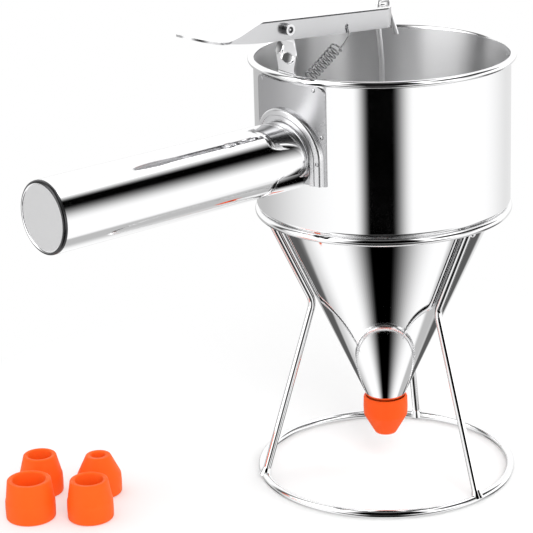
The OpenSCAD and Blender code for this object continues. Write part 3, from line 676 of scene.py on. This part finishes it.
path = add(tree, "ShaderNodeLightPath")
clear = add(tree, "ShaderNodeBsdfTransparent")
seen = add(tree, "ShaderNodeMixShader")
tree.links.new(path.outputs["Is Glossy Ray"], seen.inputs["Fac"])
tree.links.new(fade.outputs["Shader"], seen.inputs[1])
tree.links.new(clear.outputs["BSDF"], seen.inputs[2])
only = add(tree, "ShaderNodeOutputMaterial")
tree.links.new(seen.outputs["Shader"], only.inputs["Surface"])
floor_mesh.materials.append(paper)

world = bpy.data.worlds.new("studio")
bpy.context.scene.world = world
world.use_nodes = True
tree = world.node_tree
tree.nodes.clear()
facing = add(tree, "ShaderNodeTexCoord")
turned_to = add(tree, "ShaderNodeMapping", vector_type="POINT")
studio_turn = radians(130.2)
turned_to.inputs["Rotation"].default_value = (0, 0, studio_turn)
tree.links.new(facing.outputs["Generated"], turned_to.inputs["Vector"])
split = add(tree, "ShaderNodeSeparateXYZ")
tree.links.new(turned_to.outputs["Vector"], split.inputs["Vector"])
bearing = add(tree, "ShaderNodeMath", operation="ARCTAN2")
tree.links.new(split.outputs["Y"], bearing.inputs[0])
tree.links.new(split.outputs["X"], bearing.inputs[1])


def mixed(first, second, share):
    # Two greys by a share from 0 to 1; each is a number or a socket.
    mix = add(tree, "ShaderNodeMix", data_type="RGBA")
    tree.links.new(share, mix.inputs["Factor"])
    for socket, value in (("A", first), ("B", second)):
        if isinstance(value, bpy.types.NodeSocket):
            tree.links.new(value, mix.inputs[socket])
        else:
            mix.inputs[socket].default_value = (value, value, value, 1)
    return mix.outputs["Result"]


def soft_edge(source, clear_of, within):
    # 0 at one angle in degrees, 1 at the other, with a smooth run between.
    run = add(tree, "ShaderNodeMapRange", interpolation_type="SMOOTHSTEP")
    tree.links.new(source.outputs["Value"], run.inputs["Value"])
    run.inputs["From Min"].default_value = radians(clear_of)
    run.inputs["From Max"].default_value = radians(within)
    return run.outputs["Result"]


def panel(behind, grey, sides, heights):
    # A soft-edged panel of one grey in front of what is behind it. Its sides, as bearings
    # from the room's front, and its heights are four angles each, in degrees: where it
    # starts, is full, is last full and ends.
    share = None
    for source, (start, full, last, end) in ((bearing, sides), (height, heights)):
        for edge in (soft_edge(source, start, full), soft_edge(source, end, last)):
            if share is None:
                share = edge
                continue
            both = add(tree, "ShaderNodeMath", operation="MULTIPLY")
            tree.links.new(share, both.inputs[0])
            tree.links.new(edge, both.inputs[1])
            share = both.outputs["Value"]
    return mixed(behind, grey, share)


height = add(tree, "ShaderNodeMath", operation="ARCSINE")
tree.links.new(split.outputs["Z"], height.inputs[0])
white_wall, pale, middle, dark, black, lit = 1.0, 0.75, 0.5, 0.1, 0.0, 2.0
all_round = (-370, -360, 360, 370)
upper, level = (-10, -5, 60, 70), (-30, -25, -10, -5)
low, lowest = (-45, -40, -30, -25), (-85, -80, -45, -40)
walls = panel(white_wall, dark, all_round, (60, 70, 100, 110))
for grey, sides, heights in (
        (lit, (-95, -85, -50, -35), upper),          # light box on the left
        (dark, (-125, -110, -105, -95), upper),      # narrow flag behind that box
        (lit, (30, 40, 60, 70), upper),              # light box on the right
        (lit, (75, 95, 120, 135), upper),            # light box at the right side
        (black, (-45, -25, 25, 35), upper),          # flag high at the front
        (middle, (-370, -360, -150, -40), level),    # grey wall on the left
        (pale, (95, 145, 360, 370), level),          # pale wall on the right
        (black, (-30, -15, 5, 25), level),           # upright flag at the front
        (black, (-60, -45, 45, 75), low),            # dark front edge of the table
        (dark, (90, 110, 150, 180), low),            # dark right edge of the table
        (black, (-75, -25, 10, 85), lowest),         # dark front of the floor
        (middle, (95, 105, 130, 180), lowest),       # grey right of the floor
        (dark, (-180, -165, -140, -100), low),       # dark left edge of the table
        (middle, (-180, -165, -140, -100), lowest),  # grey left of the floor
        (black, (30, 50, 115, 130), (-10, 30, 40, 60))):     # black flag over the handle
    walls = panel(walls, grey, sides, heights)
studio = add(tree, "ShaderNodeBackground")
tree.links.new(walls, studio.inputs["Color"])
studio.inputs["Strength"].default_value = 1.12
plain = add(tree, "ShaderNodeBackground")
plain.inputs["Color"].default_value = (1, 1, 1, 1)
plain.inputs["Strength"].default_value = 0.95
white = add(tree, "ShaderNodeBackground")
white.inputs["Color"].default_value = (1, 1, 1, 1)
ray = add(tree, "ShaderNodeLightPath")
for_glossy = add(tree, "ShaderNodeMixShader")
tree.links.new(ray.outputs["Is Glossy Ray"], for_glossy.inputs["Fac"])
tree.links.new(plain.outputs["Background"], for_glossy.inputs[1])
tree.links.new(studio.outputs["Background"], for_glossy.inputs[2])
for_camera = add(tree, "ShaderNodeMixShader")
either = add(tree, "ShaderNodeMath", operation="MAXIMUM")
tree.links.new(ray.outputs["Is Camera Ray"], either.inputs[0])
tree.links.new(ray.outputs["Is Transmission Ray"], either.inputs[1])
tree.links.new(either.outputs["Value"], for_camera.inputs["Fac"])
tree.links.new(for_glossy.outputs["Shader"], for_camera.inputs[1])
tree.links.new(white.outputs["Background"], for_camera.inputs[2])
sky = add(tree, "ShaderNodeOutputWorld")
tree.links.new(for_camera.outputs["Shader"], sky.inputs["Surface"])

lit_middle = Vector((0, 0, 0.08))
for label, place, size, watts in (("key_lamp", (-0.5, -0.9, 0.9), 0.6, 6.0),
                                  ("fill_lamp", (0.9, -0.5, 0.7), 0.6, 3.0)):
    light = bpy.data.lights.new(label, "AREA")
    light.size = size
    light.energy = watts
    lamp = bpy.data.objects.new(label, light)
    lamp.location = place
    lamp.rotation_euler = (lit_middle - Vector(place)).to_track_quat("-Z", "Y").to_euler()
    lamp.visible_glossy = False
    bpy.context.collection.objects.link(lamp)


# Camera. A long lens that looks down on the cup from the handle's side, over the
# handle's end, held a little off level.
lens = bpy.data.cameras.new("camera")
lens.sensor_width = 36
lens.lens = 138.74
lens.clip_start = 0.01
stand_point = Vector((-0.5424, -0.5692, 0.3517))
ahead = Vector((0.6115, 0.7245, -0.3180)).normalized()
right = ahead.cross(Vector((0, 0, 1))).normalized()
up = right.cross(ahead)
roll = radians(-1.73)
level_right = cos(roll) * right + sin(roll) * up
level_up = cos(roll) * up - sin(roll) * right
camera = bpy.data.objects.new("camera", lens)
bpy.context.collection.objects.link(camera)
turn = Matrix((level_right, level_up, -ahead)).transposed()
camera.matrix_world = Matrix.Translation(stand_point) @ turn.to_4x4()
bpy.context.scene.camera = camera
bpy.context.scene.view_settings.view_transform = "Standard"
